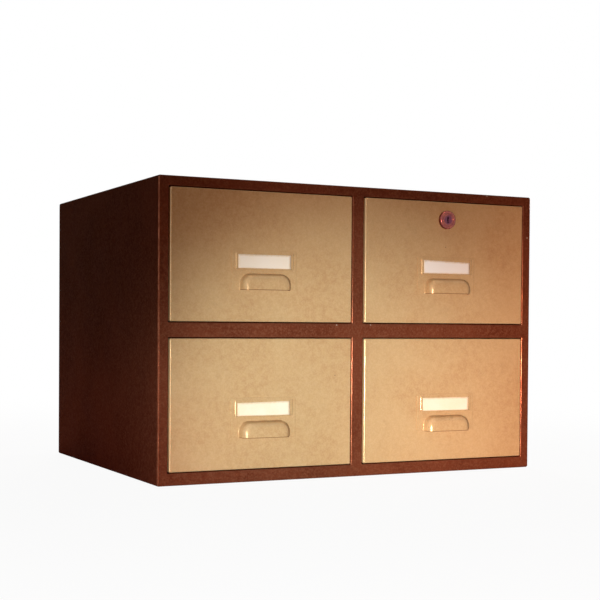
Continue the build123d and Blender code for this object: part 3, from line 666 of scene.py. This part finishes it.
def lock_case():
    """The lock's body, turned: a bezel with a rounded shoulder and a seat for the plug, and a
    threaded barrel with its bore. The thread is a fine wave of the radius along the barrel."""
    bezel, hole, seat, bore = 11.2, 9.0, 7.56, 6.06
    shoulder_run, shoulder_rise, seat_depth = 2.4, 2.2, 1.0
    thread_radius, thread_depth, pitch, rear_rim = 8.83, 0.15, 1.2, 8.4
    face = SKIN_Y - LOCK_RISE
    turn = np.linspace(0, np.pi / 2, 13)
    shoulder_radius = bezel - 0.05 - shoulder_run * (1 - np.cos(turn))
    shoulder_y = face + shoulder_rise * (1 - np.sin(turn))
    along = np.linspace(SKIN_Y + pitch, LOCK_REAR_Y - pitch / 2, 73)
    wave = thread_radius + thread_depth * np.cos((along - SKIN_Y) * 2 * np.pi / pitch)
    rows = [(hole, SKIN_Y + 0.02), (bezel - 0.15, SKIN_Y + 0.02), (bezel, SKIN_Y - 0.15)]
    rows += zip(shoulder_radius, shoulder_y)
    rows += [(seat + 0.34, face + 0.02), (seat + 0.04, face + 0.2)]
    rows += [(seat, face + seat_depth), (bore, face + seat_depth)]
    rows += [(bore, LOCK_REAR_Y), (rear_rim, LOCK_REAR_Y)]
    rows += zip(wave[::-1], along[::-1])
    return turned(rows, LOCK_CENTRE)


def plug_form():
    """The lock's plug, as outlines nested from the bottom of its keyway out over the face and the
    flange, back along the barrel to the square, and in again to the hole for the screw."""
    flange, barrel, screw_hole, screw_depth = 7.48, 5.98, 2.06, 7.0
    key_height, key_width, key_depth = 8.0, 1.8, 8.0
    dish_inner, dish_run, dish_depth = 4.4, 2.6, 0.9
    square_side, square_length, sunk = 6.0, 2.0, 0.06
    face = SKIN_Y - LOCK_RISE + sunk
    end = LOCK_REAR_Y + square_length
    key = slot_outline(key_height, key_width)
    square = square_outline(square_side)
    turn = np.linspace(0, np.pi, 9)
    dish_radius = dish_inner + dish_run * turn / np.pi
    dish_y = face + dish_depth / 2 * (1 + np.cos(turn))
    rows = [(0.0, face + key_depth), (key * 0.98, face + key_depth)]
    rows += [(key, face + 1.2), (key + 0.2, face + 1.0)]
    rows += zip(dish_radius, dish_y)
    rows += [(7.3, face + 0.05), (flange, face + 0.3), (flange, face + 0.88)]
    rows += [(barrel, face + 0.9), (barrel, LOCK_REAR_Y - 0.02)]
    rows += [(square, LOCK_REAR_Y - 0.01), (square, end - 0.2), (square - 0.2, end)]
    rows += [(screw_hole, end), (screw_hole, end - screw_depth), (0.0, end - screw_depth)]
    return turned(rows, LOCK_CENTRE)


case_points, plug_points = lock_case(), plug_form()
piece(
    "lock_case",
    [(case_points, grid_faces(*case_points.shape[:2], rows_meet=True, columns_meet=True))],
    "lock_copper",
    "drawer_top_right",
    ["lock_body"],
    soften=0.08,
)
piece(
    "plug",
    [(plug_points, grid_faces(*plug_points.shape[:2], columns_meet=True))],
    "lock_copper",
    "lock_plug",
    ["lock_plug"],
    soften=0.06,
)


def pale_floor(reach=12.0):
    """A level floor that is lit as pale paper, which keeps the shadow, and is seen as nearly white,
    quite white further off."""
    mesh = bpy.data.meshes.new("floor")
    corners = [(-reach, -reach, 0), (reach, -reach, 0), (reach, reach, 0), (-reach, reach, 0)]
    mesh.from_pydata(corners, [], [(0, 1, 2, 3)])
    floor = bpy.data.objects.new("floor", mesh)
    bpy.context.scene.collection.objects.link(floor)
    f = Finish("pale_floor")
    f.finish((0.80, 0.76, 0.72, 1.0), 0.9, gloss=0.0)
    white = f.spread(f.vector("LENGTH", f.place), 0.3, 1.6, 0.945, 1.0)
    glow = f.node("ShaderNodeEmission", (*WHITE, 1.0)).outputs[0]
    mix = f.node("ShaderNodeMixShader", f.times(f.seen(), white), f.shader.outputs[0], glow)
    f.join(mix.outputs[0], f.nodes["Material Output"].inputs["Surface"])
    mesh.materials.append(f.material)


def white_world():
    """White where it is seen, and a low, even, warm light on everything."""
    world = bpy.data.worlds.new("studio")
    world.use_nodes = True
    g = Graph(world.node_tree)
    ground = g.nodes["Background"].inputs
    ground["Strength"].default_value = 1.0
    g.join(g.mix(g.seen(), DIM_WARM, WHITE), ground["Color"])
    bpy.context.scene.world = world


def lamp(name, kind, place, aim, power, colour=WHITE, **settings):
    """A lamp at a place in metres, turned to its aim."""
    data = bpy.data.lights.new(name, kind)
    data.energy = power
    data.color = colour
    for key, value in settings.items():
        setattr(data, key, value)
    made = bpy.data.objects.new(name, data)
    made.location = place
    made.rotation_euler = (Vector(aim) - Vector(place)).to_track_quat("-Z", "Y").to_euler()
    bpy.context.scene.collection.objects.link(made)


def spot_lamp(name, place, aim, power, colour, angle, softness):
    """A lamp that throws a cone of light with a soft edge, angle degrees wide."""
    cone = {"spot_size": np.radians(angle), "spot_blend": 1.0, "shadow_soft_size": softness}
    lamp(name, "SPOT", place, aim, power, colour, **cone)


def take_camera():
    """The photograph's viewpoint, from a fit of the cabinet's straight edges."""
    data = bpy.data.cameras.new("camera")
    data.sensor_width = 36.0
    data.lens = 75.744
    data.shift_y = 0.08
    data.clip_end = 100.0
    camera = bpy.data.objects.new("camera", data)
    right = (0.89495643, -0.44609590, 0.00717195)
    up = (0.00203776, 0.02016199, 0.99979465)
    back = (-0.44614890, -0.89475803, 0.01895314)
    place = (-0.7217, -1.48515, 0.1786)
    camera.matrix_world = Matrix([*zip(right, up, back, place), (0, 0, 0, 1)])
    bpy.context.scene.collection.objects.link(camera)
    bpy.context.scene.camera = camera


pale_floor()
white_world()

# The flash, to the left of the camera and below it
FLASH = (-0.84, -1.50, 0.05)
spot_lamp("key", FLASH, (-0.04, -0.19, 0.082), 96.0, (0.87, 1.0, 1.0), 20.2, 0.05)
spot_lamp("right key", FLASH, (0.9, -0.19, -0.12), 140.0, (1.0, 0.59, 0.42), 46.7, 0.05)
spot_lamp("warm wide", FLASH, (0.14, -0.19, 0.2), 34.0, (1.0, 0.47, 0.26), 34.0, 0.12)
spot_lamp("low left", FLASH, (-0.33, -0.1, -0.07), 33.0, (1.0, 0.3, 0.2), 20.5, 0.08)

spot_lamp("top fill", (0.0, -0.5, 2.2), (0.0, 0.0, 0.3), 44.0, (1.0, 0.75, 0.55), 22.0, 0.25)
lamp("right fill", "AREA", (2.2, 0.5, 0.9), (0.2, 0.1, 0.15), 28.0, size=0.8)
lamp("back fill", "AREA", (0.75, 2.4, 1.0), (0.0, 0.2, 0.15), 44.0, size=0.8)
take_camera()
bpy.context.scene.view_settings.view_transform = "Standard"
